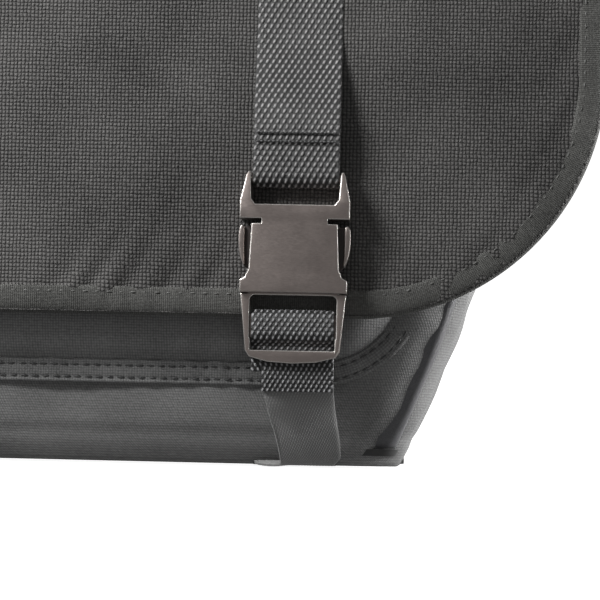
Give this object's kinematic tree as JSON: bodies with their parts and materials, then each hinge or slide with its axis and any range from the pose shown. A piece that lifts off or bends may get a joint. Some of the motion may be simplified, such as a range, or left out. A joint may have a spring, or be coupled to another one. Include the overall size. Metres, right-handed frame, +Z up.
{
  "type": "messenger bag",
  "caption": "Fabric messenger bag with a rounded flap held by webbing straps with metal side-release buckles, a zipped front pocket and a shoulder strap.",
  "frame": {"origin": "on the floor, at the middle of the base panel's underside", "axes": "+X to the right seen from the front, -Y out of the front, +Z up"},
  "size_m": [0.3796, 0.2081, 0.2721],
  "materials": {
    "flap_fabric": "plain-weave nylon, matt with a slight sheen",
    "body_fabric": "plain-weave nylon, matt",
    "binding_tape": "folded nylon tape, stitched",
    "webbing": "coarse nylon webbing",
    "shoulder_webbing": "38 mm nylon webbing",
    "lining_fabric": "thin coated nylon",
    "stiffener_board": "polypropylene board",
    "buckle_metal": "gunmetal plating, satin, edges worn bright",
    "buckle_arm": "dark moulded spring arms",
    "strap_metal": "gunmetal plating",
    "zipper_metal": "dark plated zinc",
    "zipper_coil": "nylon coil",
    "zipper_tape": "woven tape"
  },
  "bodies": {
    "bag": {"front_panel": "body_fabric", "back_panel": "body_fabric", "gusset_left": "body_fabric", "gusset_right": "body_fabric", "base_panel": "body_fabric", "base_stiffener": "stiffener_board", "lining": "lining_fabric", "rim_binding": "binding_tape", "flap_seam_strip": "body_fabric", "inner_pocket": "lining_fabric", "inner_pocket_binding": "binding_tape", "pocket_band": "body_fabric", "front_pocket": "body_fabric", "zipper_tape_lower": "zipper_tape", "zipper_tape_upper": "zipper_tape", "zipper_coil": "zipper_coil", "zipper_stops": "zipper_metal", "base_strap_left": "webbing", "base_strap_right": "webbing", "lower_strap_left": "webbing", "lower_strap_right": "webbing", "strap_anchor_left": "shoulder_webbing", "strap_anchor_right": "shoulder_webbing", "shoulder_strap": "shoulder_webbing", "strap_ring": "strap_metal", "strap_return_ply": "shoulder_webbing"},
    "flap_top": {"flap_top_panel": "flap_fabric", "flap_top_lining": "lining_fabric", "flap_top_binding": "binding_tape"},
    "flap_front": {"flap_front_panel": "flap_fabric", "flap_front_lining": "lining_fabric", "flap_front_binding": "binding_tape", "flap_strap_left": "webbing", "flap_strap_right": "webbing", "buckle_socket_left": "buckle_metal", "buckle_socket_right": "buckle_metal"},
    "plug_left": {"buckle_plug_left": "buckle_metal", "plug_loop_left": "webbing"},
    "plug_right": {"buckle_plug_right": "buckle_metal", "plug_loop_right": "webbing"},
    "left_arm_outer": {"buckle_left_arm_outer": "buckle_arm"},
    "left_arm_inner": {"buckle_left_arm_inner": "buckle_arm"},
    "right_arm_outer": {"buckle_right_arm_outer": "buckle_arm"},
    "right_arm_inner": {"buckle_right_arm_inner": "buckle_arm"},
    "zip_slider": {"zip_slider": "zipper_metal"},
    "zip_pull": {"zip_pull": "zipper_metal"},
    "strap_slider": {"strap_slider": "strap_metal", "strap_end_loop": "shoulder_webbing"}
  },
  "joints": [
    {"name": "flap_hinge", "type": "hinge", "parent": "bag", "child": "flap_top", "pos_m": [0, 0.037, 0.2636], "axis": [-1, 0, 0], "range_deg": [0, 175]},
    {"name": "flap_fold", "type": "hinge", "parent": "flap_top", "child": "flap_front", "pos_m": [0, -0.0401, 0.2687], "axis": [-1, 0, 0], "range_deg": [0, 80]},
    {"name": "plug_left_release", "type": "slide", "parent": "bag", "child": "plug_left", "axis": [0, 0, -1], "range_m": [0, 0.021], "deforming": ["lower_strap_left", "buckle_left_arm_inner", "buckle_left_arm_outer"]},
    {"name": "left_arm_outer_squeeze", "type": "hinge", "parent": "plug_left", "child": "left_arm_outer", "pos_m": [-0.1112, -0.079, 0.0526], "axis": [0, 1, 0], "range_deg": [0, 7], "stiffness_Nm_per_rad": 0.35},
    {"name": "left_arm_inner_squeeze", "type": "hinge", "parent": "plug_left", "child": "left_arm_inner", "pos_m": [-0.0888, -0.079, 0.0526], "axis": [0, -1, 0], "range_deg": [0, 7], "stiffness_Nm_per_rad": 0.35},
    {"name": "plug_right_release", "type": "slide", "parent": "bag", "child": "plug_right", "axis": [0, 0, -1], "range_m": [0, 0.021], "deforming": ["lower_strap_right", "buckle_right_arm_inner", "buckle_right_arm_outer"]},
    {"name": "right_arm_outer_squeeze", "type": "hinge", "parent": "plug_right", "child": "right_arm_outer", "pos_m": [0.1112, -0.079, 0.0526], "axis": [0, -1, 0], "range_deg": [0, 7], "stiffness_Nm_per_rad": 0.35},
    {"name": "right_arm_inner_squeeze", "type": "hinge", "parent": "plug_right", "child": "right_arm_inner", "pos_m": [0.0888, -0.079, 0.0526], "axis": [0, 1, 0], "range_deg": [0, 7], "stiffness_Nm_per_rad": 0.35},
    {"name": "zip_slide", "type": "slide", "parent": "bag", "child": "zip_slider", "axis": [-1, 0, 0], "range_m": [0, 0.222]},
    {"name": "pull_swing", "type": "hinge", "parent": "zip_slider", "child": "zip_pull", "pos_m": [0.1115, -0.05911, 0.1728], "axis": [0, 0.1822, 0.9833], "range_deg": [0, 15]},
    {"name": "strap_adjust", "type": "slide", "parent": "bag", "child": "strap_slider", "axis": [0, 0, 1], "range_m": [0, 0.04], "deforming": ["strap_return_ply"]}
  ],
  "couplings": [
    {"joint": "left_arm_inner_squeeze", "follows": "left_arm_outer_squeeze", "ratio": 1},
    {"joint": "right_arm_inner_squeeze", "follows": "right_arm_outer_squeeze", "ratio": 1}
  ]
}
